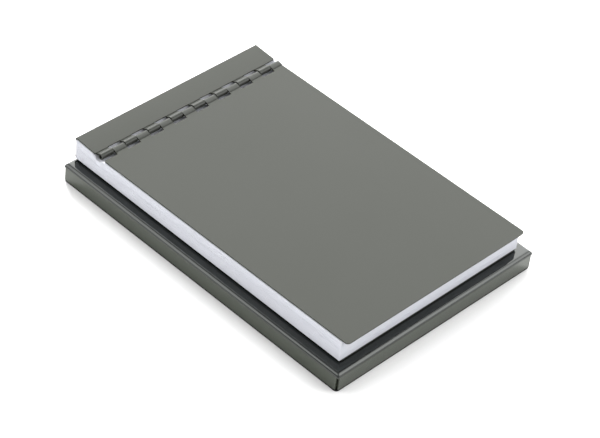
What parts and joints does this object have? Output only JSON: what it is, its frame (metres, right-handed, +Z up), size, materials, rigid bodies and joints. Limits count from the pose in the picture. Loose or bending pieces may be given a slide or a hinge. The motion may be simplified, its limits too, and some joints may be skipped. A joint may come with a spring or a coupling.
{
  "type": "pocket notebook",
  "caption": "Pocket notebook with folded sheet-metal covers and a piano hinge across the top, opening upwards over white pages, lying on a shallow tray of the same metal.",
  "frame": {"origin": "centre of the tray's footprint, on the surface that the tray stands on", "axes": "+Z up; +Y from the loose foot of the pages towards the bound head; +X to the right, along the hinge"},
  "size_m": [0.098, 0.1374, 0.0177],
  "materials": {
    "tray_paint": "glossy grey-green paint on folded steel sheet",
    "cover_paint": "satin grey-green paint on folded steel sheet",
    "pin_steel": "drawn wire",
    "paper": "uncoated white paper",
    "padding_glue": "dried padding glue",
    "core_board": "grey board",
    "black_pad": "matt black foam rubber"
  },
  "bodies": {
    "tray": {"tray_shell": "tray_paint", "tray_core": "core_board", "base_pad": "black_pad"},
    "notebook": {"back_cover": "cover_paint", "hinge_pin": "pin_steel", "bound_pages": "paper", "glue_binding": "padding_glue"},
    "front_cover": {"front_cover": "cover_paint"},
    "leaves_1": {"leaf_pack_01": "paper"},
    "leaves_2": {"leaf_pack_02": "paper"},
    "leaves_3": {"leaf_pack_03": "paper"},
    "leaves_4": {"leaf_pack_04": "paper"},
    "leaves_5": {"leaf_pack_05": "paper"},
    "leaves_6": {"leaf_pack_06": "paper"},
    "leaves_7": {"leaf_pack_07": "paper"},
    "leaves_8": {"leaf_pack_08": "paper"}
  },
  "joints": [
    {"name": "notebook_lift", "type": "slide", "parent": "tray", "child": "notebook", "axis": [0, 0, 1], "range_m": [0, 0.04]},
    {"name": "cover_hinge", "type": "hinge", "parent": "notebook", "child": "front_cover", "pos_m": [0, 0.05605, 0.01613], "axis": [-1, 0, 0], "range_deg": [0, 150]},
    {"name": "leaf_turn_1", "type": "hinge", "parent": "notebook", "child": "leaves_1", "pos_m": [0, 0.05395, 0.01573], "axis": [-1, 0, 0], "range_deg": [0, 105.05]},
    {"name": "leaf_turn_2", "type": "hinge", "parent": "notebook", "child": "leaves_2", "pos_m": [0, 0.05305, 0.01483], "axis": [-1, 0, 0], "range_deg": [0, 92]},
    {"name": "leaf_turn_3", "type": "hinge", "parent": "notebook", "child": "leaves_3", "pos_m": [0, 0.05215, 0.01393], "axis": [-1, 0, 0], "range_deg": [0, 78.95]},
    {"name": "leaf_turn_4", "type": "hinge", "parent": "notebook", "child": "leaves_4", "pos_m": [0, 0.05125, 0.01303], "axis": [-1, 0, 0], "range_deg": [0, 65.9]},
    {"name": "leaf_turn_5", "type": "hinge", "parent": "notebook", "child": "leaves_5", "pos_m": [0, 0.05035, 0.01213], "axis": [-1, 0, 0], "range_deg": [0, 52.85]},
    {"name": "leaf_turn_6", "type": "hinge", "parent": "notebook", "child": "leaves_6", "pos_m": [0, 0.04946, 0.01124], "axis": [-1, 0, 0], "range_deg": [0, 39.8]},
    {"name": "leaf_turn_7", "type": "hinge", "parent": "notebook", "child": "leaves_7", "pos_m": [0, 0.04856, 0.01034], "axis": [-1, 0, 0], "range_deg": [0, 26.75]},
    {"name": "leaf_turn_8", "type": "hinge", "parent": "notebook", "child": "leaves_8", "pos_m": [0, 0.04766, 0.00944], "axis": [-1, 0, 0], "range_deg": [0, 13.7]}
  ],
  "couplings": [
    {"joint": "leaf_turn_1", "follows": "cover_hinge", "ratio": 0.7},
    {"joint": "leaf_turn_2", "follows": "cover_hinge", "ratio": 0.613},
    {"joint": "leaf_turn_3", "follows": "cover_hinge", "ratio": 0.526},
    {"joint": "leaf_turn_4", "follows": "cover_hinge", "ratio": 0.439},
    {"joint": "leaf_turn_5", "follows": "cover_hinge", "ratio": 0.352},
    {"joint": "leaf_turn_6", "follows": "cover_hinge", "ratio": 0.265},
    {"joint": "leaf_turn_7", "follows": "cover_hinge", "ratio": 0.178},
    {"joint": "leaf_turn_8", "follows": "cover_hinge", "ratio": 0.091}
  ]
}
